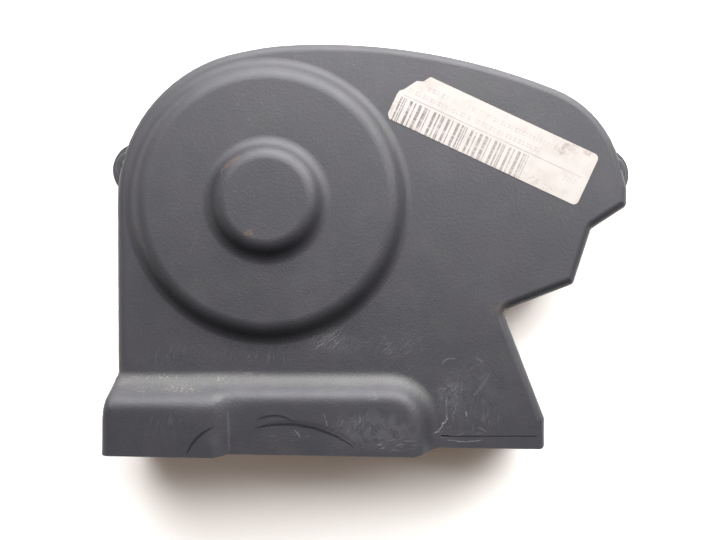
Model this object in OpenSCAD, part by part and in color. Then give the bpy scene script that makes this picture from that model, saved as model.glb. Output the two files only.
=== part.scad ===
// Upper timing cover: one moulded shell over a toothed belt drive, with a round sprocket dome and hub on its
// front, a joggled skirt along its open lower edge, and a bolted lug with a steel sleeve on each side.
// It lies on its mounting rim with the front face up. The origin is midway between the two fixing bores.

/* [Fixing lugs] */
// Distance from the origin to each fixing bore, along X
bore_reach = 146.4; // [142:0.1:152]
// How far the left bore lies above the origin and the right bore below it, along Y
bore_skew = 1.55; // [0:0.05:4]
// Bore of each sleeve, which clears a 6 mm screw
sleeve_bore_d = 6.6; // [6.2:0.1:8]
// Outside diameter of each sleeve
sleeve_d = 12; // [10:0.1:13]
// Gap all round between a sleeve and its lug
sleeve_gap = 0.1; // [0.05:0.05:0.3]
// Diameter of the raised boss round each sleeve
boss_d = 18.6; // [16:0.1:21]
// Height of the boss and its sleeve above the mounting plane
boss_h = 23; // [16:0.5:32]
// Rounding of the boss's rim
boss_brow_r = 1.4; // [0.5:0.1:2]
// Radius of the flare at the foot of the boss
boss_flare_r = 2; // [1:0.1:3]
// Diameter of the lug's flange on the mounting plane
flange_d = 34.6; // [28:0.2:38]
// Thickness of the lug's flange
flange_t = 4; // [3:0.5:6]
// Radius of the relief in the wall above each boss, which lets a socket pass
relief_r = 7.4; // [7:0.1:8.4]

/* [Shell] */
// Height of the front plate above the mounting plane
plate_h = 60; // [50:1:75]
// Wall thickness of the moulding
wall = 2.5; // [2:0.1:3]
// Radius of the shoulder between the front plate and the side walls
shoulder_r = 5.5; // [4.5:0.1:6]
// Height of the top edge above the origin, at the left end of its arch
top_y = 65; // [62:0.1:70]
// Length from the top edge to the lower edge of the wing
body_l = 227; // [220:0.5:240]

/* [Left side] */
// Set-back of the left wall from the left bore's line
left_setback = 2.1; // [0:0.1:4]
// How far the left wall leans in at its lower end
left_lean = 0.8; // [0.2:0.1:3]
// Radius of the crown, the rounded upper left side
crown_r = 85; // [80:0.5:86]
// Drop from the top edge to the corner that the crown rounds off
crown_drop = 17.7; // [15:0.1:20]
// Distance from the left wall to the end of the crown's tangent
crown_l = 88; // [85:0.5:95]

/* [Top and right side] */
// Set-back of the right wall from the right bore's line
right_setback = 2.4; // [0:0.1:4]
// Radius of the arched top edge
arch_r = 357; // [300:1:370]
// Height of the arch's corner over the top edge
arch_rise = 3.1; // [2:0.1:5]
// Distance from the arch's corner to the right wall
arch_l = 112.6; // [108:0.1:118]
// Radius of the upper right side
temple_r = 60.7; // [45:0.1:61]
// Set-back of the upper right corner from the right wall
temple_in = 12.1; // [10:0.1:15]
// Drop from the top edge to the upper right corner
temple_drop = 35.4; // [33:0.1:40]
// Height of the right wall's lower end above the wing's lower edge
cheek_h = 136; // [130:0.1:140]
// Length of the upright part of the right wall
cheek_l = 10.7; // [8:0.1:16]
// Set-back of the upper step's inner corner from the right wall
notch_in = 20.2; // [15:0.1:24]
// Height of the upper step's inner corner above the wing's lower edge
notch_h = 123; // [115:0.1:128]
// Set-back of the lower step's outer corner from the right wall
jaw_in = 30.3; // [26:0.1:36]
// Height of the lower step's outer corner above the wing's lower edge
jaw_h = 92; // [88:0.1:98]

/* [Wing] */
// Set-back of the wing's right edge from the right wall
wing_in = 46.5; // [40:0.5:52]
// Length of the wing's upright edge
wing_edge_l = 16.4; // [10:0.1:24]
// How far the neck above the wing lies in from the wing's edge
neck_in = 23.5; // [18:0.1:28]
// Height of the neck above the wing's lower edge
neck_h = 76.8; // [72:0.1:82]
// Radius of the wing's lower corner
wing_corner_r = 3; // [1:0.1:5]
// Distance of the witness groove above the wing's lower edge
groove_inset = 6.4; // [4:0.1:9]
// Width of the witness groove
groove_w = 0.7; // [0.4:0.1:1.2]
// Depth of the witness groove
groove_d = 0.5; // [0.3:0.1:0.8]

/* [Sprocket dome] */
// Distance of the dome's axis from the left wall
dome_in = 86.1; // [85:0.1:92]
// Distance of the dome's axis below the top edge
dome_drop = 88.6; // [87:0.1:96]
// Radius at which the dome's flare leaves the plate
dome_r = 81.3; // [70:0.1:82]
// Rise of the dome above the plate
dome_rise = 7.2; // [5:0.1:14]
// Width of the dome's curved side, in plan
dome_side_w = 15; // [13:0.1:22]
// Width of the flare at the foot of that side, in plan
dome_flare_w = 6.4; // [4:0.1:8]
// Radius at which the hub's flare leaves the dome
hub_r = 36.2; // [28:0.1:45]
// Rise of the hub above the dome
hub_rise = 7.5; // [5:0.1:12]
// Width of the hub's curved side, in plan
hub_side_w = 14.9; // [12:0.1:20]
// Width of the flare at the foot of that side, in plan
hub_flare_w = 7; // [4:0.1:7.5]

/* [Skirt] */
// Length of the skirt from its foot line to its lower edge
skirt_l = 44.2; // [38:0.1:52]
// How far the skirt reaches below the wing
skirt_drop = 1.3; // [0.5:0.1:4]
// Rise of the skirt's face above the plate
skirt_rise = 9.5; // [8:0.5:16]
// Slope of the skirt's step
skirt_slope = 50; // [40:1:60]
// Radius of the flare at the foot of the skirt
skirt_flare_r = 8; // [4:0.2:9]
// Radius of the brow along the top of the skirt
skirt_brow_r = 9.4; // [5:0.2:10]
// Length of the wing's lower edge, from the skirt's flare to the wing's right edge
wing_l = 60; // [50:0.5:72]
// Radius of the skirt's right end, seen from the front
skirt_end_r = 28; // [24:0.5:32]
// How far the skirt stands out to the left of the wall above it
joggle = 4.9; // [3:0.1:7]
// Distance from the skirt's foot line to the start of the joggle
joggle_drop = 3; // [1:0.1:4]
// Length of the wall over which the joggle grows
joggle_run = 16.5; // [15.8:0.1:20]
// Extra rise of the pad, the higher left part of the skirt
pad_rise = 3.5; // [0.8:0.1:5]
// Length of the pad, up to the foot of the ramp at its right end
pad_l = 69.6; // [60:0.2:100]
// Length of that ramp
pad_ramp_l = 7.5; // [5:0.1:14]
// How far the pad reaches below the rest of the skirt
pad_drop = 1.4; // [0.4:0.1:3]
// Run-out from the skirt's lower edge up to the wing's
runout_l = 14; // [10:0.5:20]
// Slant of the lower edges, which fall towards the right
edge_slant = 1; // [0:0.1:2]

/* [Label] */
// Length of the label
label_l = 117.5; // [90:0.5:119]
// Width of the label
label_w = 31; // [24:0.5:32]
// Thickness of the label
label_t = 0.2; // [0.1:0.05:0.4]
// Gap between the dome's foot and the left end of the label's lower edge
label_gap = 0.7; // [0.5:0.1:3]
// Direction from the dome's axis to that end
label_at = 34.3; // [30:0.1:38]
// Slant of the label
label_turn = -25; // [-28:0.5:-22]
// Length of the torn corner along the label's upper edge
tear_l = 13; // [10:0.5:30]
// Length of the torn corner along the label's left end
tear_w = 16.5; // [8:0.5:20]
// Length of the nick in the lower left corner, along the lower edge
nick_l = 1.9; // [0.5:0.1:4]
// Length of that nick along the label's left end
nick_w = 2.4; // [0.5:0.1:4]

/* [Hidden] */
$fn = 96;
// Longest straight piece along a rounded outline, and its largest change of direction
facet_l = 7;
facet_turn = 12;
// Change of direction between the pieces of a rounded section
section_turn = 13;
// Radius that a corner keeps where an inset would make it sharp
sharp_r = 0.3;
// How far solids run into or past each other where they join or cut
lap = 0.05;
overrun = 12;

left_x = left_setback - bore_reach;
right_x = bore_reach - right_setback;
bores = [[-bore_reach, bore_skew], [bore_reach, -bore_skew]];
dome_x = left_x + dome_in;
dome_y = top_y - dome_drop;
wing_x = right_x - wing_in;
wing_y = top_y - body_l;
skirt_y = wing_y - skirt_drop;
skirt_foot_y = skirt_y + skirt_l;
skirt_end_x = wing_x - wing_l;
joggle_top = [left_x + left_lean, skirt_foot_y - joggle_drop];
joggle_low = joggle_top - [joggle, joggle_run];
pad_end_x = joggle_low.x + pad_l;
open_y = min(wing_y, skirt_y) - overrun;
// Rounding of the smaller corners of the outline
neck_r = 3.5;
notch_r = 2.5;
corner_r = 3;
cheek_r = 4;
cheek_top_r = 12;
crest_r = 150;
joggle_r = 12;
// A point inside the outline from which its whole edge is in sight
outline_eye = [right_x - arch_l - shoulder_r * 3, skirt_foot_y / 2];

// Outline of the shell as corners, each with its rounding radius, counterclockwise from the lower left.
// The lower edge runs past the real one and is cut off square.
outline = [
    [joggle_low.x, open_y, corner_r],
    [wing_x, open_y, corner_r],
    [wing_x, wing_y + wing_edge_l, corner_r],
    [wing_x - neck_in, wing_y + neck_h, neck_r],
    [right_x - jaw_in, wing_y + jaw_h, corner_r],
    [right_x - notch_in, wing_y + notch_h, notch_r],
    [right_x, wing_y + cheek_h, cheek_r],
    [right_x, wing_y + cheek_h + cheek_l, cheek_top_r],
    [right_x - temple_in, top_y - temple_drop, temple_r],
    [right_x - arch_l, top_y + arch_rise, arch_r],
    [left_x + crown_l, top_y, crest_r],
    [left_x, top_y - crown_drop, crown_r],
    [joggle_top.x, joggle_top.y, joggle_r],
    [joggle_low.x, joggle_low.y, joggle_r],
];

// Outline of the skirt at its foot, from the lower left, with its right end
function skirt_outline(end_x, foot_y) = [
    [joggle_low.x, open_y, corner_r],
    [end_x, open_y, corner_r],
    [end_x, foot_y, skirt_end_r],
    [joggle_top.x + (foot_y - joggle_top.y) * joggle / joggle_run, foot_y, shoulder_r],
    [joggle_low.x, joggle_low.y, joggle_r],
];

// Heights of the skirt's and the wing's lower edges, each slanted about its own middle
function skirt_edge_y(x) = skirt_y - (x - (joggle_low.x + skirt_end_x) / 2) * tan(edge_slant);
function wing_edge_y(x) = wing_y - (x - (skirt_end_x + wing_x) / 2) * tan(edge_slant);

// Lower edges of the pad, the skirt and the wing, with the steps between them, closed well above
edges = [
    [joggle_low.x - lap * 4, skirt_edge_y(joggle_low.x) - pad_drop, corner_r / 2],
    [pad_end_x - pad_ramp_l, skirt_edge_y(pad_end_x - pad_ramp_l) - pad_drop, corner_r],
    [pad_end_x, skirt_edge_y(pad_end_x), corner_r],
    [skirt_end_x - runout_l, skirt_edge_y(skirt_end_x - runout_l), runout_l / 2],
    [skirt_end_x, wing_edge_y(skirt_end_x), runout_l / 2],
    [wing_x + lap, wing_edge_y(wing_x), wing_corner_r],
    [wing_x + lap, top_y, corner_r],
    [joggle_low.x - lap * 4, top_y, corner_r],
];

// Bends of the label's torn edge, as shares of the tear's two lengths
tear_bends = [[1, 0], [0.81, 0.24], [0.54, 0.32], [0.18, 0.77], [0.04, 0.86], [0, 1]];
tear_r = 0.8;
label_corner_r = 3;
// Outline of the label, from the left end of its lower edge, with the upper left corner torn away
label_outline = [
    [nick_l, 0, tear_r],
    [label_l, 0, label_corner_r],
    [label_l, label_w, label_corner_r],
    for (b = tear_bends) [tear_l * b.x, label_w - tear_w * b.y, tear_r],
    [0, nick_w, tear_r],
];

function unit(v) = v / norm(v);
function flat(p) = [p.x, p.y];
function inward(u) = [-u.y, u.x];
function bend(u, v) = atan2(cross(u, v), u * v);
function turned(v, a) = [v.x * cos(a) - v.y * sin(a), v.x * sin(a) + v.y * cos(a)];
function crossing(p, u, q, v) = p + u * cross(q - p, v) / cross(u, v);

// Arc round corner b, with the edge before it and the edge after it moved inwards
function corner_arc(a, b, c, inset_in, inset_out) =
    let (
        u = unit(flat(b) - flat(a)),
        v = unit(flat(c) - flat(b)),
        sweep = bend(u, v),
        hand = sign(sweep),
        pieces = max(2, ceil(abs(sweep) / facet_turn), ceil(b.z * abs(sweep) * PI / 180 / facet_l)),
        tip = crossing(flat(a) + inset_in * inward(u), u, flat(b) + inset_out * inward(v), v),
        r = max(b.z - hand * min(inset_in, inset_out), sharp_r),
        start = tip - u * r * tan(abs(sweep) / 2),
        centre = start + hand * r * inward(u)
    )
    [for (k = [0 : pieces]) centre - hand * r * turned(inward(u), sweep * k / pieces)];

// Closed ring of points at height z, with an inset for each edge of the outline
function ring(corners, insets, z) =
    let (n = len(corners))
    [
        for (i = [0 : n - 1])
            each [
                for (p = corner_arc(corners[(i + n - 1) % n], corners[i], corners[(i + 1) % n],
                                    insets[(i + n - 1) % n], insets[i]))
                    [p.x, p.y, z]
            ]
    ];

function even(corners, inset) = [for (c = corners) inset];
function plan(corners) = [for (p = ring(corners, even(corners, 0), 0)) flat(p)];

// Section of a step as [distance in from the foot, height]: a flare, a straight slope and a brow
function step_section(rise, flare_r, brow_r, slope) =
    let (
        straight = (rise - (flare_r + brow_r) * (1 - cos(slope))) / sin(slope),
        run = (flare_r + brow_r) * sin(slope) + straight * cos(slope),
        pieces = ceil(slope / section_turn)
    )
    concat(
        [
            for (k = [0 : pieces])
                let (a = slope * k / pieces)
                [flare_r * sin(a), flare_r * (1 - cos(a))]
        ],
        [
            for (k = [pieces : -1 : 0])
                let (a = slope * k / pieces)
                [run - brow_r * sin(a), rise - brow_r * (1 - cos(a))]
        ]
    );

// Section of a swell as [distance in from the foot, height], moved inwards by depth: a flare that turns into a brow
function swell_section(rise, side_w, flare_w, depth) =
    let (
        slope = 2 * atan(rise / side_w),
        flare_r = flare_w / sin(slope) + depth,
        brow_r = (side_w - flare_w) / sin(slope) - depth,
        pieces = ceil(slope / section_turn)
    )
    concat(
        [
            for (k = [0 : pieces])
                let (a = slope * k / pieces)
                [flare_r * sin(a), flare_r * (1 - cos(a))]
        ],
        [
            for (k = [pieces - 1 : -1 : 0])
                let (a = slope * k / pieces)
                [side_w - brow_r * sin(a), rise - brow_r * (1 - cos(a))]
        ]
    );

// Solid through a stack of rings, closed by fans from a point that sees the whole of the end rings
module loft(rings, eye) {
    n = len(rings[0]);
    last = len(rings) - 1;
    foot = n * (last + 1);
    points = [
        for (r = rings) each r,
        [eye.x, eye.y, rings[0][0].z],
        [eye.x, eye.y, rings[last][0].z],
    ];
    walls = [
        for (j = [0 : last - 1], i = [0 : n - 1])
            let (a = j * n + i, b = j * n + (i + 1) % n)
            each [[a, a + n, b + n], [a, b + n, b]]
    ];
    ends = [
        for (i = [0 : n - 1])
            let (k = (i + 1) % n)
            each [[foot, i, k], [foot + 1, last * n + k, last * n + i]]
    ];
    polyhedron(points, concat(walls, ends), convexity = 10);
}

// Plate and side walls with their rounded shoulder, moved inwards by depth
module block(depth, floor_z) {
    pieces = ceil(90 / section_turn);
    r = shoulder_r - depth;
    rings = [
        ring(outline, even(outline, depth), floor_z),
        for (k = [0 : pieces])
            let (a = 90 * k / pieces)
            ring(outline, even(outline, shoulder_r - r * cos(a)), plate_h - shoulder_r + r * sin(a)),
    ];
    loft(rings, outline_eye);
}

// Dome and hub, turned about the dome's axis, moved inwards by depth
module dome(depth) {
    section = [
        [0, -overrun / 2],
        [dome_r, -overrun / 2],
        for (p = swell_section(dome_rise, dome_side_w, dome_flare_w, depth)) [dome_r - p.x, p.y],
        for (p = swell_section(hub_rise, hub_side_w, hub_flare_w, depth)) [hub_r - p.x, dome_rise + p.y],
        [0, dome_rise + hub_rise],
    ];
    translate([dome_x, dome_y, plate_h - depth - lap])
        rotate_extrude()
            polygon(section);
}

// Raised skirt along the lower edge, moved inwards by depth and standing proud of its left wall
module skirt(depth, rise, end_x, foot_y, proud) {
    corners = skirt_outline(end_x, foot_y);
    base_z = plate_h - depth - lap;
    turn_z = plate_h - lap + rise - shoulder_r;
    step = step_section(rise, skirt_flare_r + depth, skirt_brow_r - depth, skirt_slope);
    r = shoulder_r - depth;
    function side_inset(z) =
        z < turn_z ? depth - proud : shoulder_r - proud - sqrt(max(r * r - (z - turn_z) ^ 2, 0));
    function insets(p) =
        let (s = side_inset(base_z + p.y))
        [0, p.x, p.x, s, s];
    rings = [
        ring(corners, insets([0, 0]), base_z - overrun),
        for (p = step) ring(corners, insets(p), base_z + p.y),
    ];
    loft(rings, [(joggle_low.x + end_x) / 2, (foot_y + open_y) / 2 - rise]);
}

// Pad that raises the left part of the skirt and ends in a ramp, moved inwards by depth
module pad(depth) {
    reach = bore_reach * 4;
    intersection() {
        skirt(depth, skirt_rise + pad_rise, skirt_end_x - lap * 6, skirt_foot_y - lap * 2, lap * 2);
        translate([pad_end_x, 0, plate_h + skirt_rise - lap])
            rotate([0, atan(pad_rise / pad_ramp_l), 0])
                translate([-reach / 2, -reach / 2, -depth - reach])
                    cube(reach);
    }
}

// Front of the moulding, outside when depth is 0 and inside when depth is the wall
module form(depth, floor_z) {
    block(depth, floor_z);
    dome(depth);
    skirt(depth, skirt_rise, skirt_end_x, skirt_foot_y, lap);
    pad(depth);
}

// Flange and boss of one lug, turned about the bore
module lug() {
    boss_step = step_section(boss_h - flange_t, boss_flare_r, boss_brow_r, 90);
    rotate_extrude()
        polygon([
            [0, 0],
            [flange_d / 2, 0],
            [flange_d / 2, flange_t],
            for (p = boss_step) [boss_d / 2 + boss_flare_r - p.x, flange_t + p.y],
            [0, boss_h],
        ]);
}

// Everything outside the open lower edges of the wing and the skirt
module below_edges() {
    width = 3 * bore_reach;
    translate([0, 0, -overrun])
        linear_extrude(plate_h * 2)
            difference() {
                translate([-width / 2, skirt_y - width])
                    square([width, width + wing_edge_l / 2]);
                polygon(plan(edges));
            }
}

module cover_shell() {
    color("#3d4042")
    difference() {
        union() {
            form(0, 0);
            for (p = bores)
                translate(p)
                    lug();
        }
        difference() {
            form(wall, -overrun);
            for (p = bores)
                translate([p.x, p.y, -overrun * 2])
                    cylinder(r = relief_r + wall, h = plate_h + overrun * 4);
        }
        for (p = bores) {
            translate([p.x, p.y, boss_h])
                cylinder(r = relief_r, h = plate_h);
            translate([p.x, p.y, -overrun])
                cylinder(d = sleeve_d + 2 * sleeve_gap, h = boss_h + overrun * 2);
        }
        below_edges();
        translate([skirt_end_x + lap, wing_y + groove_inset, plate_h - groove_d])
            cube([wing_x - shoulder_r - skirt_end_x, groove_w, groove_d * 2]);
    }
}

module label() {
    color("#e9e3da")
    translate([dome_x, dome_y, plate_h] + (dome_r + label_gap) * [cos(label_at), sin(label_at), 0])
        rotate(label_turn)
            translate([-nick_l, 0])
                linear_extrude(label_t)
                    polygon(plan(label_outline));
}

// Steel sleeve that takes the clamping load of the screw
module fixing_sleeve(place) {
    color("#b9bcbe")
    translate(place)
        difference() {
            cylinder(d = sleeve_d, h = boss_h);
            translate([0, 0, -overrun])
                cylinder(d = sleeve_bore_d, h = boss_h + overrun * 2);
        }
}

module left_fixing_sleeve() fixing_sleeve(bores[0]);
module right_fixing_sleeve() fixing_sleeve(bores[1]);

cover_shell();
label();
left_fixing_sleeve();
right_fixing_sleeve();
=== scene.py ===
"""Looks of an upper timing cover: a charcoal moulding with a worn sticker and two plated sleeves.

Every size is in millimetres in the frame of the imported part, and turns into metres where a mesh
is made.
"""

import logging
import math
from dataclasses import dataclass
from enum import Enum
from typing import ClassVar, Iterable, Union

import bpy
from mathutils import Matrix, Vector


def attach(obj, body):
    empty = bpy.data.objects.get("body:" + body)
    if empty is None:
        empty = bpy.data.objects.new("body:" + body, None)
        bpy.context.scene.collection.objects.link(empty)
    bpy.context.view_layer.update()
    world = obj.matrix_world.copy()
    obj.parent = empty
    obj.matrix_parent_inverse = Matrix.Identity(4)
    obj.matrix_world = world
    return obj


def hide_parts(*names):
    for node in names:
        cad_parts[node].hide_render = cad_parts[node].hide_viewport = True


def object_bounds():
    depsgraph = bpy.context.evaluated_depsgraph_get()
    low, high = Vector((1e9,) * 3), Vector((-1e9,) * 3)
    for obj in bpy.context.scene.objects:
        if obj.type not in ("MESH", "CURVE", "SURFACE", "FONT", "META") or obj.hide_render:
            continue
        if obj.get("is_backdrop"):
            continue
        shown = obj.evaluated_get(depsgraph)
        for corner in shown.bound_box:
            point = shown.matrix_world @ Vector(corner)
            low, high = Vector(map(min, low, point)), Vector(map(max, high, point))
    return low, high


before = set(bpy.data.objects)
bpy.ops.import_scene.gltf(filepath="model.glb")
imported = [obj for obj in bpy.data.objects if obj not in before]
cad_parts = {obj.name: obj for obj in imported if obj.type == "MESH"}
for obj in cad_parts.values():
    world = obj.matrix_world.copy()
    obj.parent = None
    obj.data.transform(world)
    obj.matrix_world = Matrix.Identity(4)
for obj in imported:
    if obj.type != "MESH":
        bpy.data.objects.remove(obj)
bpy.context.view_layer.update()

LOG = logging.getLogger("timing_cover")
MM = 0.001
BODY = "root"
IN_PLAN = (1, 1, 0)
PRINT_EDGE = 0.3
JOIN_GAP = 0.002
FLAT_TURN = 0.2

Socket = bpy.types.NodeSocket
Value = Union[Socket, float, tuple]
Point = tuple[float, float]
Colour = tuple[float, float, float]


def opaque(colour: Colour) -> tuple[float, float, float, float]:
    """Adds full opacity to a colour."""
    return (*colour, 1.0)


@dataclass(frozen=True)
class Cloud:
    """Settings of cloudy noise.

    Attributes:
        scale: Clouds a millimetre.
        detail: Octaves of finer noise.
        shift: Offset that sets this noise apart from others of the same scale.
    """

    scale: float
    detail: float = 4.0
    shift: float = 0.0


class Graph:
    """Adds nodes to one node tree and joins them."""

    def __init__(self, tree: bpy.types.NodeTree) -> None:
        """Keeps the tree that the nodes go into."""
        self.tree = tree

    @property
    def shader(self) -> bpy.types.Node:
        """The main shader of a material's tree."""
        return self.tree.nodes["Principled BSDF"]

    def place(self) -> tuple[Socket, Socket]:
        """Adds the object's own coordinates.

        Returns:
            The sockets of the place, in millimetres, and of the surface's direction.
        """
        node = self.node("ShaderNodeTexCoord")
        return self.vector("SCALE", node.outputs["Object"], 1 / MM), node.outputs["Normal"]

    def put(self, socket: Socket, value: Value) -> None:
        """Links a socket to another one, or sets its plain value."""
        if isinstance(value, bpy.types.NodeSocket):
            self.tree.links.new(value, socket)
        else:
            socket.default_value = value

    def node(self, kind: str, **settings: object) -> bpy.types.Node:
        """Adds one node.

        Args:
            kind: Blender's name for the node type.
            settings: Properties of the node.

        Returns:
            The new node.
        """
        node = self.tree.nodes.new(kind)
        for name, value in settings.items():
            setattr(node, name, value)
        return node

    def math(self, operation: str, *values: Value) -> Socket:
        """Joins numbers by one arithmetic operation and returns the result's socket."""
        node = self.node("ShaderNodeMath", operation=operation)
        for socket, value in zip(node.inputs, values):
            self.put(socket, value)
        return node.outputs[0]

    def vector(self, operation: str, *values: Value) -> Socket:
        """Joins vectors by one operation and returns the socket of the vector or number."""
        node = self.node("ShaderNodeVectorMath", operation=operation)
        sockets = [s for s in node.inputs if s.enabled]
        for socket, value in zip(sockets, values):
            self.put(socket, value)
        return next(s for s in node.outputs if s.enabled)

    def step(self, value: Value, low: Value, high: Value) -> Socket:
        """Rises smoothly from 0 at low to 1 at high, and falls where low is the larger."""
        node = self.node("ShaderNodeMapRange", interpolation_type="SMOOTHSTEP")
        for name, part in (("Value", value), ("From Min", low), ("From Max", high)):
            self.put(node.inputs[name], part)
        return node.outputs["Result"]

    def blend(self, low: Value, high: Value, share: Value) -> Socket:
        """Goes from one number to another as the share goes from 0 to 1."""
        node = self.node("ShaderNodeMapRange")
        for name, part in (("Value", share), ("To Min", low), ("To Max", high)):
            self.put(node.inputs[name], part)
        return node.outputs["Result"]

    def times(self, *values: Value) -> Socket:
        """Multiplies several numbers and returns the product's socket."""
        product = values[0]
        for value in values[1:]:
            product = self.math("MULTIPLY", product, value)
        return product

    def clouds(self, place: Socket, cloud: Cloud) -> bpy.types.Node:
        """Adds a noise node, with coordinates in millimetres, and returns it."""
        node = self.node("ShaderNodeTexNoise")
        self.put(node.inputs["Vector"], self.vector("ADD", place, (cloud.shift,) * 3))
        node.inputs["Scale"].default_value = cloud.scale
        node.inputs["Detail"].default_value = cloud.detail
        return node

    def noise(self, place: Socket, cloud: Cloud) -> Socket:
        """Adds cloudy noise around 0.5 and returns its socket."""
        return self.clouds(place, cloud).outputs["Fac"]

    def swing(self, place: Socket, cloud: Cloud) -> Socket:
        """Adds noise with a direction, around 0, which pushes clean lines out of true."""
        return self.vector("SUBTRACT", self.clouds(place, cloud).outputs["Color"], (0.5, 0.5, 0.5))

    def parts(self, place: Socket) -> tuple[Socket, Socket, Socket]:
        """Splits a vector and returns the sockets of its three parts."""
        node = self.node("ShaderNodeSeparateXYZ")
        self.put(node.inputs[0], place)
        return tuple(node.outputs)

    def relief(self, height: Socket, depth: float, strength: float = 1.0) -> None:
        """Gives the material's shader a fine relief.

        Args:
            height: Socket of the relief's height, from 0 to about 1.
            depth: Depth that this stands for, in millimetres.
            strength: Share of the relief that shows.
        """
        bump = self.node("ShaderNodeBump")
        bump.inputs["Strength"].default_value = strength
        bump.inputs["Distance"].default_value = depth * MM
        self.put(bump.inputs["Height"], height)
        self.put(self.shader.inputs["Normal"], bump.outputs["Normal"])

    def tint(self, share: Value, under: Value, over: Colour) -> Socket:
        """Lays one colour over another and returns the mixed colour's socket."""
        node = self.node("ShaderNodeMix", data_type="RGBA")
        sockets = [s for s in node.inputs if s.enabled]
        for socket, value in zip(sockets, (share, under, opaque(over))):
            self.put(socket, value)
        return next(s for s in node.outputs if s.enabled)

    def group(self, tree: bpy.types.NodeTree, **values: Value) -> Socket:
        """Places a shared group with its own values and returns its first output."""
        node = self.node("ShaderNodeGroup", node_tree=tree)
        for name, value in values.items():
            self.put(node.inputs[name.replace("_", " ").capitalize()], value)
        return node.outputs[0]

    def show(self, output: str, share: Socket, *shaders: bpy.types.Node) -> None:
        """Sends two shaders to an output.

        Args:
            output: Name of the output node.
            share: Socket that is 0 where the first one shows and 1 where the second does.
            shaders: The two shaders.
        """
        mixed = self.node("ShaderNodeMixShader")
        for socket, value in zip(mixed.inputs, (share, *(s.outputs[0] for s in shaders))):
            self.put(socket, value)
        self.put(self.tree.nodes[output].inputs["Surface"], mixed.outputs[0])

    def largest(self, masks: list[Socket]) -> Socket:
        """Keeps the strongest of several masks."""
        strongest = masks[0]
        for mask in masks[1:]:
            strongest = self.math("MAXIMUM", strongest, mask)
        return strongest


def new_material(name: str) -> bpy.types.Material:
    """Makes an empty node material and returns it."""
    material = bpy.data.materials.new(name)
    material.use_nodes = True
    return material


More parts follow.
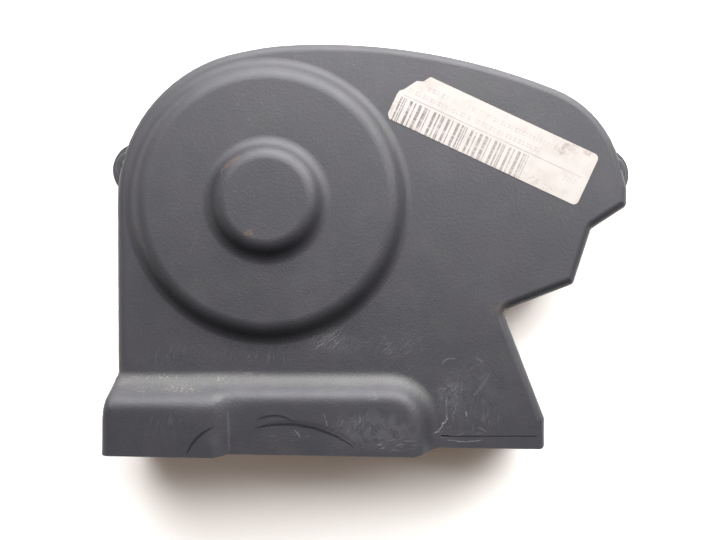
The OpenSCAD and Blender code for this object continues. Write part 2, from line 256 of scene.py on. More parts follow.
class SharedEffects:
    """Node groups that more than one finish uses.

    Attributes:
        STROKE_CORE: Share of a stroke's half width that is at full strength.
        OVAL_CORE: Share of an oval's reach that is at full strength.
        SPECK_CORE: Share of a speck's size that is at full strength.
        GRAIN_CLOUD: Noise on the grain's pebbles, in pebbles.
    """

    STROKE_CORE = 0.35
    OVAL_CORE = 0.12
    SPECK_CORE = 0.4
    GRAIN_CLOUD = Cloud(1.7, 3.0)

    def __init__(self) -> None:
        """Builds each group once."""
        self.stroke = self._stroke()
        self.oval = self._oval()
        self.specks = self._specks()
        self.grain = self._grain()

    @staticmethod
    def _open(
            name: str, numbers: list[str], vectors: list[str],
    ) -> tuple[Graph, dict[str, Socket], Socket]:
        """Starts a group with its sockets.

        Args:
            name: Name of the group.
            numbers: Names of its number inputs.
            vectors: Names of its vector inputs.

        Returns:
            The graph inside, its inputs by name, and the socket that takes its result.
        """
        tree = bpy.data.node_groups.new(name, "ShaderNodeTree")
        for title in vectors:
            tree.interface.new_socket(title, in_out="INPUT", socket_type="NodeSocketVector")
        for title in numbers:
            tree.interface.new_socket(title, in_out="INPUT", socket_type="NodeSocketFloat")
        tree.interface.new_socket("Mask", in_out="OUTPUT", socket_type="NodeSocketFloat")
        graph = Graph(tree)
        entry = graph.node("NodeGroupInput")
        leave = graph.node("NodeGroupOutput")
        return graph, {s.name: s for s in entry.outputs if s.name}, leave.inputs["Mask"]

    @staticmethod
    def _scaled(graph: Graph, given: dict[str, Socket]) -> Socket:
        """Counts a group's place in cells of its pitch and returns the socket."""
        pitch = graph.vector("ADD", (0, 0, 0), given["Pitch"])
        return graph.vector("DIVIDE", given["Place"], pitch)

    def _stroke(self) -> bpy.types.NodeTree:
        """A bowed line that thins out towards its ends, in plan, and breaks up where asked."""
        graph, given, result = self._open(
            "bowed_stroke",
            ["Radius", "Turn", "Width", "Gaps", "Breaks"], ["Place", "Centre", "Middle"])
        arm = graph.vector("SUBTRACT", given["Place"], given["Centre"])
        arm = graph.vector("MULTIPLY", arm, IN_PLAN)
        reach = graph.vector("LENGTH", arm)
        along = graph.vector("DOT_PRODUCT", graph.vector("NORMALIZE", arm), given["Middle"])
        share = graph.math("DIVIDE", graph.math("SUBTRACT", along, given["Turn"]),
                           graph.math("SUBTRACT", 1.0, given["Turn"]))
        taper = graph.math("SQRT", graph.math("MAXIMUM", share, 0.0))
        half = graph.times(given["Width"], 0.5, taper)
        off = graph.math("ABSOLUTE", graph.math("SUBTRACT", reach, given["Radius"]))
        line = graph.step(off, half, graph.times(half, self.STROKE_CORE))
        kept = graph.blend(1.0, given["Gaps"], given["Breaks"])
        graph.put(result, graph.times(line, graph.math("GREATER_THAN", share, 0.0), kept))
        return graph.tree

    def _oval(self) -> bpy.types.NodeTree:
        """A soft-edged oval, in plan."""
        graph, given, result = self._open("soft_oval", [], ["Place", "Centre", "Reach"])
        arm = graph.vector("SUBTRACT", given["Place"], given["Centre"])
        arm = graph.vector("DIVIDE", arm, given["Reach"])
        away = graph.vector("LENGTH", graph.vector("MULTIPLY", arm, IN_PLAN))
        graph.put(result, graph.step(away, 1.0, self.OVAL_CORE))
        return graph.tree

    def _specks(self) -> bpy.types.NodeTree:
        """Scattered fine specks, of which only a share of the cells hold one."""
        graph, given, result = self._open("fine_specks", ["Pitch", "Size", "Share"], ["Place"])
        cells = graph.node("ShaderNodeTexVoronoi")
        graph.put(cells.inputs["Vector"], self._scaled(graph, given))
        cells.inputs["Scale"].default_value = 1.0
        draw = graph.vector("DOT_PRODUCT", cells.outputs["Color"], (1, 0, 0))
        chosen = graph.math("LESS_THAN", draw, given["Share"])
        core = graph.times(given["Size"], self.SPECK_CORE)
        dot = graph.step(cells.outputs["Distance"], given["Size"], core)
        graph.put(result, graph.times(dot, chosen))
        return graph.tree

    def _grain(self) -> bpy.types.NodeTree:
        """Fine pebbled relief of a textured mould or of paper fibre."""
        graph, given, result = self._open("fine_grain", ["Pitch"], ["Place"])
        scaled = self._scaled(graph, given)
        cells = graph.node("ShaderNodeTexVoronoi", feature="SMOOTH_F1")
        graph.put(cells.inputs["Vector"], scaled)
        cells.inputs["Scale"].default_value = 1.0
        fine = graph.noise(scaled, self.GRAIN_CLOUD)
        graph.put(result, graph.math("ADD", cells.outputs["Distance"], fine))
        return graph.tree


class MarkKind(Enum):
    """Kinds of mark that use has left on the moulding."""

    RUB = "dark rub"
    SCUFF = "pale scuff"
    STAIN = "brown stain"
    DUST = "settled dust"


class Lean(Enum):
    """Directions of fine scratches in plan, in degrees from the long axis."""

    LEVEL = 6.0
    RISING = 38.0
    UPRIGHT = 82.0


@dataclass(frozen=True)
class MarkFields:
    """Noise that all the marks of one material share.

    Attributes:
        place: Coordinates in millimetres.
        swing: How far clean lines are pushed out of true, as a share.
        gaps: Where broken lines are whole.
        fine: Close noise for crumbs and smears.
        coarse: Wide noise for hazes.
        hairs: Fine scratches of each lean.
    """

    place: Socket
    swing: Socket
    gaps: Socket
    fine: Socket
    coarse: Socket
    hairs: dict[Lean, Socket]

    SWING_CLOUD: ClassVar[Cloud] = Cloud(0.3, 3.0)
    GAP_CLOUD: ClassVar[Cloud] = Cloud(1.1)
    GAP_EDGES: ClassVar[Point] = (0.44, 0.58)
    FINE_CLOUD: ClassVar[Cloud] = Cloud(0.8, 5.0, 41.0)
    COARSE_CLOUD: ClassVar[Cloud] = Cloud(0.22, 5.0, 5.0)
    HAIR_BEND: ClassVar[float] = 3.0
    HAIR_ALONG: ClassVar[float] = 0.13
    HAIR_ACROSS: ClassVar[float] = 1.15
    HAIR_EDGES: ClassVar[Point] = (0.53, 0.7)

    @classmethod
    def build(cls, graph: Graph, place: Socket) -> "MarkFields":
        """Adds the noise to a material's graph.

        Args:
            graph: Graph of the material.
            place: Coordinates in millimetres.

        Returns:
            The shared fields.
        """
        swing = graph.swing(place, cls.SWING_CLOUD)
        return cls(
            place=place,
            swing=swing,
            gaps=graph.step(graph.noise(place, cls.GAP_CLOUD), *cls.GAP_EDGES),
            fine=graph.noise(place, cls.FINE_CLOUD),
            coarse=graph.noise(place, cls.COARSE_CLOUD),
            hairs={lean: cls.hair(graph, place, swing, lean) for lean in Lean},
        )

    @classmethod
    def hair(cls, graph: Graph, place: Socket, swing: Socket, lean: Lean) -> Socket:
        """Draws noise out into hair-like lines.

        Args:
            graph: Graph of the material.
            place: Coordinates in millimetres.
            swing: Noise that bends the lines.
            lean: Direction of the lines.

        Returns:
            The socket of the lines' mask.
        """
        turn = math.radians(lean.value)
        bent = graph.vector("ADD", place, graph.vector("SCALE", swing, cls.HAIR_BEND))
        along = graph.vector("DOT_PRODUCT", bent, (math.cos(turn), math.sin(turn), 0))
        across = graph.vector("DOT_PRODUCT", bent, (-math.sin(turn), math.cos(turn), 0))
        drawn = graph.node("ShaderNodeCombineXYZ")
        graph.put(drawn.inputs["X"], graph.times(along, cls.HAIR_ALONG))
        graph.put(drawn.inputs["Y"], graph.times(across, cls.HAIR_ACROSS))
        lines = graph.noise(drawn.outputs[0], Cloud(1.0, 3.0, lean.value))
        return graph.step(lines, *cls.HAIR_EDGES)


@dataclass(frozen=True)
class Stroke:
    """A bowed mark in plan, by its two ends.

    Attributes:
        bow: Height of the bow over its chord, below 0 for one to the right of the way it runs.
        breaks: Share of the line that is broken up.
        wobble: How far it is pushed out of true, in millimetres.
    """

    kind: MarkKind
    start: Point
    end: Point
    bow: float
    width: float
    strength: float = 1.0
    breaks: float = 0.0
    wobble: float = 0.6

    def mask(self, graph: Graph, effects: SharedEffects, fields: MarkFields) -> Socket:
        """Places the stroke's group.

        Args:
            graph: Graph of the material.
            effects: Shared groups.
            fields: Shared noise.

        Returns:
            The socket of the mask, as strong as the mark.
        """
        run = (self.end[0] - self.start[0], self.end[1] - self.start[1])
        chord = math.hypot(*run)
        side = math.copysign(1.0, self.bow)
        out = (-run[1] / chord * side, run[0] / chord * side)
        rise = abs(self.bow)
        radius = (chord * chord / 4 + rise * rise) / (2 * rise)
        middle = [(a + b) / 2 for a, b in zip(self.start, self.end)]
        centre = [m + o * (rise - radius) for m, o in zip(middle, out)]
        push = graph.vector("SCALE", fields.swing, self.wobble)
        line = graph.group(
            effects.stroke, place=graph.vector("ADD", fields.place, push),
            centre=(*centre, 0.0), middle=(*out, 0.0), radius=radius,
            turn=1 - rise / radius, width=self.width, gaps=fields.gaps, breaks=self.breaks)
        return graph.times(line, self.strength)


def soft_oval(
        graph: Graph, effects: SharedEffects, place: Socket, centre: Point, reach: Point) -> Socket:
    """Places the oval's group, in plan, and returns its mask."""
    return graph.group(effects.oval, place=place, centre=(*centre, 0.0), reach=(*reach, 1.0))


@dataclass(frozen=True)
class Patch:
    """A ragged oval mark in plan, which noise eats into as far as it is thin."""

    kind: MarkKind
    centre: Point
    reach: Point
    thin: float
    strength: float = 1.0
    hazy: bool = False

    FULL_EDGE: ClassVar[float] = 0.3
    EDGE_RANGE: ClassVar[float] = 0.32
    EDGE_WIDTH: ClassVar[float] = 0.2

    def mask(self, graph: Graph, effects: SharedEffects, fields: MarkFields) -> Socket:
        """Places the oval's group and returns its mask, as strong as the mark."""
        oval = soft_oval(graph, effects, fields.place, self.centre, self.reach)
        edge = self.FULL_EDGE + self.EDGE_RANGE * self.thin
        noise = fields.coarse if self.hazy else fields.fine
        ragged = graph.step(noise, edge, edge + self.EDGE_WIDTH)
        return graph.times(oval, ragged, self.strength)


@dataclass(frozen=True)
class Scratches:
    """An oval of fine scratches of one lean, in plan."""

    kind: MarkKind
    centre: Point
    reach: Point
    lean: Lean
    strength: float = 1.0

    def mask(self, graph: Graph, effects: SharedEffects, fields: MarkFields) -> Socket:
        """Places the oval's group and returns its mask, as strong as the mark."""
        oval = soft_oval(graph, effects, fields.place, self.centre, self.reach)
        return graph.times(oval, fields.hairs[self.lean], self.strength)


@dataclass(frozen=True)
class Specks:
    """Loose specks all over a surface.

    Attributes:
        pitch: Size of the cells that may hold one, in millimetres.
        size: Size of a speck, as a share of its cell.
        share: Share of the cells that hold one.
        strength: How strongly they show.
    """

    pitch: float
    size: float
    share: float
    strength: float

    def mask(self, graph: Graph, effects: SharedEffects, place: Socket) -> Socket:
        """Places the specks' group and returns its mask, as strong as they show."""
        specks = graph.group(
            effects.specks, place=place, pitch=self.pitch, size=self.size, share=self.share)
        return graph.times(specks, self.strength)


# Marks of use on the moulding
RUB, SCUFF, STAIN, DUST = MarkKind.RUB, MarkKind.SCUFF, MarkKind.STAIN, MarkKind.DUST
MARKS: tuple[Union[Stroke, Patch, Scratches], ...] = (
    # Black rubs on the skirt
    Stroke(RUB, (-100.8, -161.9), (-86.4, -147.4), 2.1, 2.1, 0.75, 0.15),
    Stroke(RUB, (-63.4, -144.4), (-43.5, -144.9), 2.8, 1.9, 0.66, 0.2),
    Stroke(RUB, (-65.0, -148.8), (-9.6, -159.6), 6.6, 2.4, 0.75, 0.15),
    Stroke(RUB, (-60.0, -147.0), (-8.0, -158.4), 6.4, 3.0, 0.34, 0.3),
    Patch(RUB, (-86.5, -141.4), (1.1, 5.0), 0.75, 0.8),
    Patch(RUB, (-93.2, -125.4), (4.2, 2.0), 0.0, 0.5, hazy=True),
    # Dust on the skirt's slope, in crumbs and as a bright spot
    Patch(DUST, (-120.0, -121.6), (28.0, 2.6), 0.5, 0.34),
    Patch(DUST, (-106.0, -127.4), (17.0, 3.8), 0.4, 0.3),
    Patch(DUST, (-126.0, -127.6), (16.0, 3.0), 0.55, 0.22),
    Patch(DUST, (-112.0, -125.0), (34.0, 6.0), 0.2, 0.12, hazy=True),
    Patch(DUST, (-110.0, -124.6), (30.0, 6.0), 0.15, 0.12),
    Patch(DUST, (-85.4, -122.6), (5.0, 2.2), 0.3, 0.34),
    Scratches(DUST, (-80.0, -121.0), (70.0, 4.0), Lean.LEVEL, 0.2),
    # Pale wear along the ramp's foot and on the skirt's face
    Patch(DUST, (-84.6, -132.0), (4.4, 3.4), 0.3, 0.12, hazy=True),
    Stroke(SCUFF, (-79.2, -139.0), (-78.6, -161.5), 0.3, 2.2, 0.05, 0.3, 0.8),
    Stroke(SCUFF, (-43.0, -149.6), (-39.6, -154.0), 0.5, 0.9, 0.2, 0.3, 2.0),
    Stroke(SCUFF, (-27.4, -139.6), (-24.8, -147.8), 0.6, 1.1, 0.14, 0.5, 3.0),
    Scratches(SCUFF, (-48.0, -153.0), (18.0, 4.0), Lean.LEVEL, 0.12),
    Scratches(SCUFF, (-6.0, -147.0), (18.0, 10.0), Lean.UPRIGHT, 0.16),
    Scratches(SCUFF, (-10.0, -148.0), (22.0, 12.0), Lean.RISING, 0.1),
    Scratches(SCUFF, (8.0, -157.0), (26.0, 6.0), Lean.LEVEL, 0.23),
    Scratches(SCUFF, (-112.0, -146.0), (26.0, 14.0), Lean.UPRIGHT, 0.043),
    Patch(SCUFF, (4.0, -149.0), (32.0, 16.0), 0.3, 0.05, hazy=True),
    Patch(SCUFF, (10.0, -150.0), (24.0, 12.0), 0.45, 0.05),
    Patch(SCUFF, (1.0, -132.6), (5.0, 3.0), 0.5, 0.1),
    # Pale scuffs on the wing
    Stroke(SCUFF, (33.9, -154.6), (42.6, -143.0), -1.0, 1.1, 0.34, 0.6, 5.0),
    Stroke(SCUFF, (42.0, -157.4), (61.6, -157.2), -0.8, 0.9, 0.26, 0.6, 3.0),
    Stroke(SCUFF, (57.0, -132.2), (66.2, -119.0), -0.5, 2.6, 0.06, 0.2, 3.0),
    Stroke(SCUFF, (38.4, -114.8), (47.2, -111.6), 1.2, 1.3, 0.1, 0.3, 2.0),
    Stroke(SCUFF, (57.4, -111.0), (62.4, -115.6), 0.8, 1.2, 0.08, 0.3, 2.0),
    Stroke(SCUFF, (59.0, -149.8), (64.4, -152.8), 0.3, 1.2, 0.12, 0.4, 2.4),
    Stroke(SCUFF, (52.6, -140.8), (52.9, -144.2), 0.1, 1.0, 0.25, 0.3, 1.0),
    Scratches(SCUFF, (46.0, -134.0), (14.0, 20.0), Lean.UPRIGHT, 0.17),
    Scratches(SCUFF, (44.0, -128.0), (11.0, 8.0), Lean.RISING, 0.2),
    Scratches(SCUFF, (62.0, -140.0), (20.0, 22.0), Lean.UPRIGHT, 0.086),
    Scratches(SCUFF, (58.0, -118.0), (16.0, 14.0), Lean.RISING, 0.086),
    Scratches(SCUFF, (48.0, -153.0), (20.0, 5.0), Lean.LEVEL, 0.12),
    Patch(SCUFF, (44.0, -131.0), (13.0, 17.0), 0.3, 0.05, hazy=True),
    Patch(SCUFF, (46.0, -130.0), (13.0, 18.0), 0.5, 0.07),
    Patch(SCUFF, (60.0, -132.0), (26.0, 26.0), 0.4, 0.018, hazy=True),
    # Light scratches below and on the dome
    Scratches(SCUFF, (-25.0, -101.0), (16.0, 9.0), Lean.RISING, 0.23),
    Scratches(SCUFF, (-22.0, -104.0), (12.0, 8.0), Lean.UPRIGHT, 0.1),
    Scratches(SCUFF, (12.0, -104.0), (24.0, 12.0), Lean.RISING, 0.086),
    Scratches(SCUFF, (-112.0, -112.0), (26.0, 10.0), Lean.UPRIGHT, 0.072),
    Scratches(SCUFF, (-60.0, -110.0), (40.0, 8.0), Lean.UPRIGHT, 0.058),
    Patch(SCUFF, (-20.0, -104.0), (26.0, 9.0), 0.35, 0.026, hazy=True),
    Patch(SCUFF, (-22.0, -104.0), (24.0, 8.0), 0.55, 0.06),
    Stroke(SCUFF, (-31.0, -103.5), (-15.6, -94.0), 0.5, 1.1, 0.1, 0.4, 2.0),
    Stroke(SCUFF, (-20.6, -101.6), (-20.0, -105.0), 0.2, 0.8, 0.16, 0.3, 1.2),
    Stroke(SCUFF, (-58.0, -107.0), (-58.4, -115.0), 0.3, 2.4, 0.03, 0.3, 2.0),
    Stroke(SCUFF, (-95.6, -38.6), (-101.2, -53.6), 0.5, 0.9, 0.03, 0.5, 1.2),
    # Brown stains on the hub, the dome and the neck
    Stroke(STAIN, (-71.2, -0.4), (-83.0, -9.0), -1.2, 4.0, 0.4, 0.35, 2.0),
    Patch(STAIN, (-66.4, -42.2), (5.4, 3.4), 0.4, 0.6),
    Stroke(STAIN, (3.6, 21.6), (12.4, 2.6), 1.2, 2.4, 0.25, 0.4, 2.0),
    Patch(STAIN, (73.0, -84.0), (9.0, 6.0), 0.2, 0.3, hazy=True),
)


@dataclass(frozen=True)
class MouldedPlastic:
    """Charcoal moulding with a pebbled mould grain, dust in its creases and the marks of use.

    Attributes:
        roughness: Least and greatest roughness of clean plastic.
        dull_roughness: Roughness of dust and scuffs.
        front_edges: Tilt to the front at which marks of use begin, and at which they are whole.
        skirt_end: Right and upper side of the skirt's foot line, which a round corner joins.
        band_low: Distances from that line at which the dust begins and is whole, on the skirt.
        band_high: The same on the plate's side.
        band_waves: How far the dust's lower edge wanders, in millimetres.
        dust_fade: Heights between which the dust fades out down the skirt's right end.
        dust_band: Least and greatest strength of that dust.
        film: Strength of the thin dust all over.
    """

    cool: Colour = (0.021, 0.0215, 0.0255)
    warm: Colour = (0.0245, 0.022, 0.028)
    mottle_cloud: Cloud = Cloud(0.045)
    mottle_edges: Point = (0.38, 0.62)
    shine: Colour = (0.985, 0.98, 0.995)
    gloss: float = 0.65
    roughness: Point = (0.52, 0.62)
    rough_cloud: Cloud = Cloud(0.09, shift=11.0)
    dust: Colour = (0.28, 0.275, 0.225)
    scuff: Colour = (0.42, 0.42, 0.42)
    dull_roughness: float = 0.8
    rub: Colour = (0.008, 0.008, 0.009)
    rub_roughness: float = 0.3
    stain: Colour = (0.105, 0.070, 0.045)
    grain_pitch: float = 1.25
    grain_depth: float = 0.055
    front_edges: Point = (0.0, 0.2)
    skirt_end: Point = (37.5, -119.1)
    skirt_end_r: float = 28.0
    band_low: Point = (-9.0, -5.6)
    band_high: Point = (0.9, -1.6)
    band_waves: float = 4.0
    wave_cloud: Cloud = Cloud(0.12)
    dust_fade: Point = (-141.0, -129.0)
    dust_band: Point = (-0.01, 0.18)
    streak_cloud: Cloud = Cloud(1.1, 5.0, 31.0)
    film: float = 0.02
    film_cloud: Cloud = Cloud(0.045, shift=57.0)
    film_edges: Point = (0.45, 0.75)
    specks: Specks = Specks(3.4, 0.08, 0.08, 0.4)

    def crease(self, graph: Graph, place: Socket) -> Socket:
        """Distance from the skirt's foot line, in plan.

        Args:
            graph: Graph of the material.
            place: Coordinates in millimetres.

        Returns:
            The socket of the distance, below 0 on the skirt.
        """
        corner = tuple(v - self.skirt_end_r for v in self.skirt_end)
        arm = graph.vector("SUBTRACT", place, (*corner, 0.0))
        arm = graph.vector("MULTIPLY", arm, IN_PLAN)
        past = graph.vector("LENGTH", graph.vector("MAXIMUM", arm, (0, 0, 0)))
        right, up, _ = graph.parts(arm)
        short = graph.math("MINIMUM", graph.math("MAXIMUM", right, up), 0.0)
        return graph.math("SUBTRACT", graph.math("ADD", past, short), self.skirt_end_r)

    def dusting(self, graph: Graph, effects: SharedEffects, fields: MarkFields) -> Socket:
        """Dust that has settled along the skirt's foot, with loose specks elsewhere.

        Args:
            graph: Graph of the material.
            effects: Shared groups.
            fields: Shared noise.

        Returns:
            The socket of the dust's mask.
        """
        place = fields.place
        away = self.crease(graph, place)
        waves = graph.math("SUBTRACT", graph.noise(place, self.wave_cloud), 0.5)
        wavy = graph.math("ADD", away, graph.times(waves, self.band_waves))
        band = graph.times(
            graph.step(wavy, *self.band_low), graph.step(away, *self.band_high),
            graph.step(graph.parts(place)[1], *self.dust_fade),
            graph.blend(*self.dust_band, graph.noise(place, self.streak_cloud)))
        film = graph.step(graph.noise(place, self.film_cloud), *self.film_edges)
        patches = [m.mask(graph, effects, fields) for m in MARKS if m.kind is DUST]
        return graph.largest([
            band, graph.times(film, self.film), self.specks.mask(graph, effects, place), *patches])

    def build(self, effects: SharedEffects) -> bpy.types.Material:
        """Builds the finish.

        Args:
            effects: Shared groups.

        Returns:
            The material.
        """
        material = new_material("moulded_plastic")
        graph = Graph(material.node_tree)
        place, facing = graph.place()
        fields = MarkFields.build(graph, place)
        front = graph.step(graph.parts(facing)[2], *self.front_edges)
        masks = {
            kind: graph.times(front, graph.largest([
                m.mask(graph, effects, fields) for m in MARKS if m.kind is kind]))
            for kind in (RUB, SCUFF, STAIN)}
        dust = graph.times(front, self.dusting(graph, effects, fields))
        mottle = graph.step(graph.noise(place, self.mottle_cloud), *self.mottle_edges)
        colour = graph.tint(mottle, opaque(self.cool), self.warm)
        colour = graph.tint(dust, colour, self.dust)
        for kind, over in ((STAIN, self.stain), (RUB, self.rub), (SCUFF, self.scuff)):
            colour = graph.tint(masks[kind], colour, over)
        graph.put(graph.shader.inputs["Base Color"], colour)
        graph.shader.inputs["Specular Tint"].default_value = opaque(self.shine)
        graph.shader.inputs["Specular IOR Level"].default_value = self.gloss
        rough = graph.blend(*self.roughness, graph.noise(place, self.rough_cloud))
        pale = graph.math("MAXIMUM", dust, masks[SCUFF])
        rough = graph.blend(rough, self.dull_roughness, pale)
        rough = graph.blend(rough, self.rub_roughness, masks[RUB])
        graph.put(graph.shader.inputs["Roughness"], rough)
        grain = graph.group(effects.grain, place=place, pitch=self.grain_pitch)
        graph.relief(grain, self.grain_depth)
        return material


def uneven_bars(
        graph: Graph, along: Socket, pitch: float, swell: float, width: Point) -> Socket:
    """Draws bars whose width swells and shrinks.

    Args:
        graph: Graph of the material.
        along: Distance along the bars' row, in millimetres.
        pitch: Pitch of the bars.
        swell: How fast the width changes, in radians a millimetre.
        width: Swing and mean of the width, as shares of the pitch.

    Returns:
        The socket of the bars' mask.
    """
    phase = graph.math("FRACT", graph.math("DIVIDE", along, pitch))
    wave = graph.math("SINE", graph.times(along, swell))
    return graph.math("LESS_THAN", phase, graph.math("MULTIPLY_ADD", wave, *width))


@dataclass(frozen=True)
class PrintRow:
    """One row of worn dashes on the sticker, none of which says anything.

    Attributes:
        height: Height of the row's middle over the sticker's lower edge.
        start: Place of its left end.
        end: Place of its right end.
        beat: Pitch of the dashes.
        strength: How strongly they show.
    """

    height: float
    start: float
    end: float
    beat: float
    strength: float = 0.34

    SWELL: ClassVar[float] = 1.37
    DASH: ClassVar[Point] = (0.22, 0.5)
    OUTSIDE: ClassVar[Point] = (1.2, 0.9)
    INSIDE: ClassVar[Point] = (0.2, 0.6)

    def mask(self, graph: Graph, along: Socket, across: Socket) -> Socket:
        """Draws the row.

        Args:
            graph: Graph of the material.
            along: Distance along the sticker.
            across: Distance across it.

        Returns:
            The socket of the row's mask.
        """
        dashes = uneven_bars(graph, along, self.beat, self.SWELL, self.DASH)
        level = graph.math("ABSOLUTE", graph.math("SUBTRACT", across, self.height))
        return graph.times(
            dashes,
            graph.step(along, self.start, self.start + PRINT_EDGE),
            graph.step(along, self.end, self.end - PRINT_EDGE),
            graph.step(level, *self.OUTSIDE), graph.step(level, *self.INSIDE), self.strength)


@dataclass(frozen=True)
class StickerPaper:
    """Rubbed paper with plain bars, a thin rule and rows of dashes, none of which says anything.

    Attributes:
        corner: The sticker's lower left corner on the plate, from which its own sizes count.
        turn: Its turn on the plate, in degrees.
        bar_swell: How fast the width of the bars changes, in radians a millimetre.
        bar_width: Swing and mean of that width, as shares of the pitch.
        thin_pitch: Pitch of the thin bars between them.
        thin_width: Width of those, as a share of the pitch.
        bars_start: Where the field of bars begins and is whole.
        bars_fade: Strength of the bars at their left and right end.
        rule_edges: Half width of the rule, outside and at full strength.
        stains: Centre and reach of each brown stain.
        smudges_and_edge_shadow: Centre and reach of each smudge of dirt, and of the three ovals
            along the lower edge that are painted shadow.
    """

    corner: Point = (7.82, 23.4)
    turn: float = -25.0
    paper: Colour = (0.39, 0.357, 0.337)
    ink: Colour = (0.05, 0.047, 0.047)
    # Brown dirt colour; along the lower edge it also paints a shadow.
    grime: Colour = (0.17, 0.125, 0.1)
    roughness: Point = (0.5, 0.7)
    rough_cloud: Cloud = Cloud(0.2)
    fibre_pitch: float = 0.5
    fibre_depth: float = 0.012
    bar_pitch: float = 2.9
    bar_swell: float = 0.83
    bar_width: Point = (0.18, 0.36)
    thin_pitch: float = 4.698
    thin_width: float = 0.12
    bars_start: Point = (2.4, 2.6)
    bars_end: float = 82.0
    bars_top: float = 14.4
    bars_fade: Point = (0.85, 0.5)
    rule_height: float = 15.7
    rule_edges: Point = (0.3, 0.1)
    rule_start: Point = (3.0, 4.0)
    rule_end: Point = (113.5, 112.5)
    rule_strength: float = 0.5
    rows: tuple[PrintRow, ...] = (
        PrintRow(19.3, 5.0, 44.0, 2.3),
        PrintRow(24.4, 13.0, 27.0, 2.9),
        PrintRow(24.6, 39.0, 101.0, 2.2, 0.26),
        PrintRow(19.3, 46.0, 86.0, 2.5, 0.3),
        PrintRow(11.6, 104.0, 112.0, 1.9, 0.22),
    )
    stains: tuple[tuple[Point, Point], ...] = (
        ((98.5, 28.2), (5.0, 3.4)),
        ((97.0, 25.0), (3.4, 5.0)),
        ((102.5, 29.4), (4.0, 2.4)),
        ((111.0, 29.4), (5.0, 2.2)),
    )
    # Ovals of darkening: the left end and the top corners are smudges of dirt, and the three along
    # the lower edge are painted shadow.
    smudges_and_edge_shadow: tuple[tuple[Point, Point], ...] = (
        ((0.5, 6.0), (5.0, 11.0)),
        ((16.0, -0.6), (26.0, 3.4)),
        ((60.0, -0.4), (34.0, 2.0)),
        ((93.0, 3.0), (18.0, 4.6)),
        ((13.0, 27.0), (11.0, 6.0)),
        ((99.0, 26.6), (13.0, 7.0)),
    )
    blot_cloud: Cloud = Cloud(0.53, 5.0)
    stain_edges: Point = (0.26, 0.66)
    stain_strength: float = 0.7
    smudge_and_shadow_edges: Point = (0.3, 0.75)
    smudge_and_shadow_strength: float = 0.42
    yellow_cloud: Cloud = Cloud(0.12, 5.0, 9.0)
    yellow_edges: Point = (0.42, 0.75)
    yellow_strength: float = 0.16
    specks: Specks = Specks(2.2, 0.1, 0.12, 0.45)
    streak_draw: tuple[float, float, float] = (0.12, 1.0, 0.0)
    streak_cloud: Cloud = Cloud(0.9, shift=3.0)
    streak_share: float = 0.6
    fleck_cloud: Cloud = Cloud(0.5, 5.0, 23.0)
    fleck_share: float = 0.4
    wear_edges: Point = (0.34, 0.56)
    worn_print: float = 0.3

    def build(self, effects: SharedEffects) -> bpy.types.Material:
        """Builds the finish.

        Args:
            effects: Shared groups.

        Returns:
            The material.
        """
        material = new_material("sticker_paper")
        graph = Graph(material.node_tree)
        mapping = graph.node("ShaderNodeMapping", vector_type="TEXTURE")
        mapping.inputs["Location"].default_value = (*self.corner, 0.0)
        mapping.inputs["Rotation"].default_value = (0.0, 0.0, math.radians(self.turn))
        graph.put(mapping.inputs["Vector"], graph.place()[0])
        own = mapping.outputs["Vector"]
        colour = graph.tint(self.print_mask(graph, own), opaque(self.paper), self.ink)
        # Darkens the paper with stains, smudges and yellowing, plus a painted shadow along the
        # lower edge.
        colour = graph.tint(self.dirt_and_shadow_mask(graph, effects, own), colour, self.grime)
        graph.put(graph.shader.inputs["Base Color"], colour)
        rough = graph.blend(*self.roughness, graph.noise(own, self.rough_cloud))
        graph.put(graph.shader.inputs["Roughness"], rough)
        fibre = graph.group(effects.grain, place=own, pitch=self.fibre_pitch)
        graph.relief(fibre, self.fibre_depth)
        return material

    def dirt_and_shadow_mask(self, graph: Graph, effects: SharedEffects, own: Socket) -> Socket:
        """Stains, smudges, yellowing and specks, and a painted shadow along the lower edge.

        Args:
            graph: Graph of the material.
            effects: Shared groups.
            own: Coordinates from the sticker's lower left corner, in millimetres.

        Returns:
            The socket of the dirt's mask.
        """
        blots = graph.noise(own, self.blot_cloud)
        masks = []
        # The smudge ovals along the lower edge paint a shadow; the other ovals are dirt.
        for spots, edges, strength in (
                (self.stains, self.stain_edges, self.stain_strength),
                (self.smudges_and_edge_shadow, self.smudge_and_shadow_edges, self.smudge_and_shadow_strength)):
            ovals = [soft_oval(graph, effects, own, *spot) for spot in spots]
            masks.append(graph.times(graph.largest(ovals), graph.step(blots, *edges), strength))
        yellowed = graph.step(graph.noise(own, self.yellow_cloud), *self.yellow_edges)
        masks.append(graph.times(yellowed, self.yellow_strength))
        masks.append(self.specks.mask(graph, effects, own))
        return graph.largest(masks)

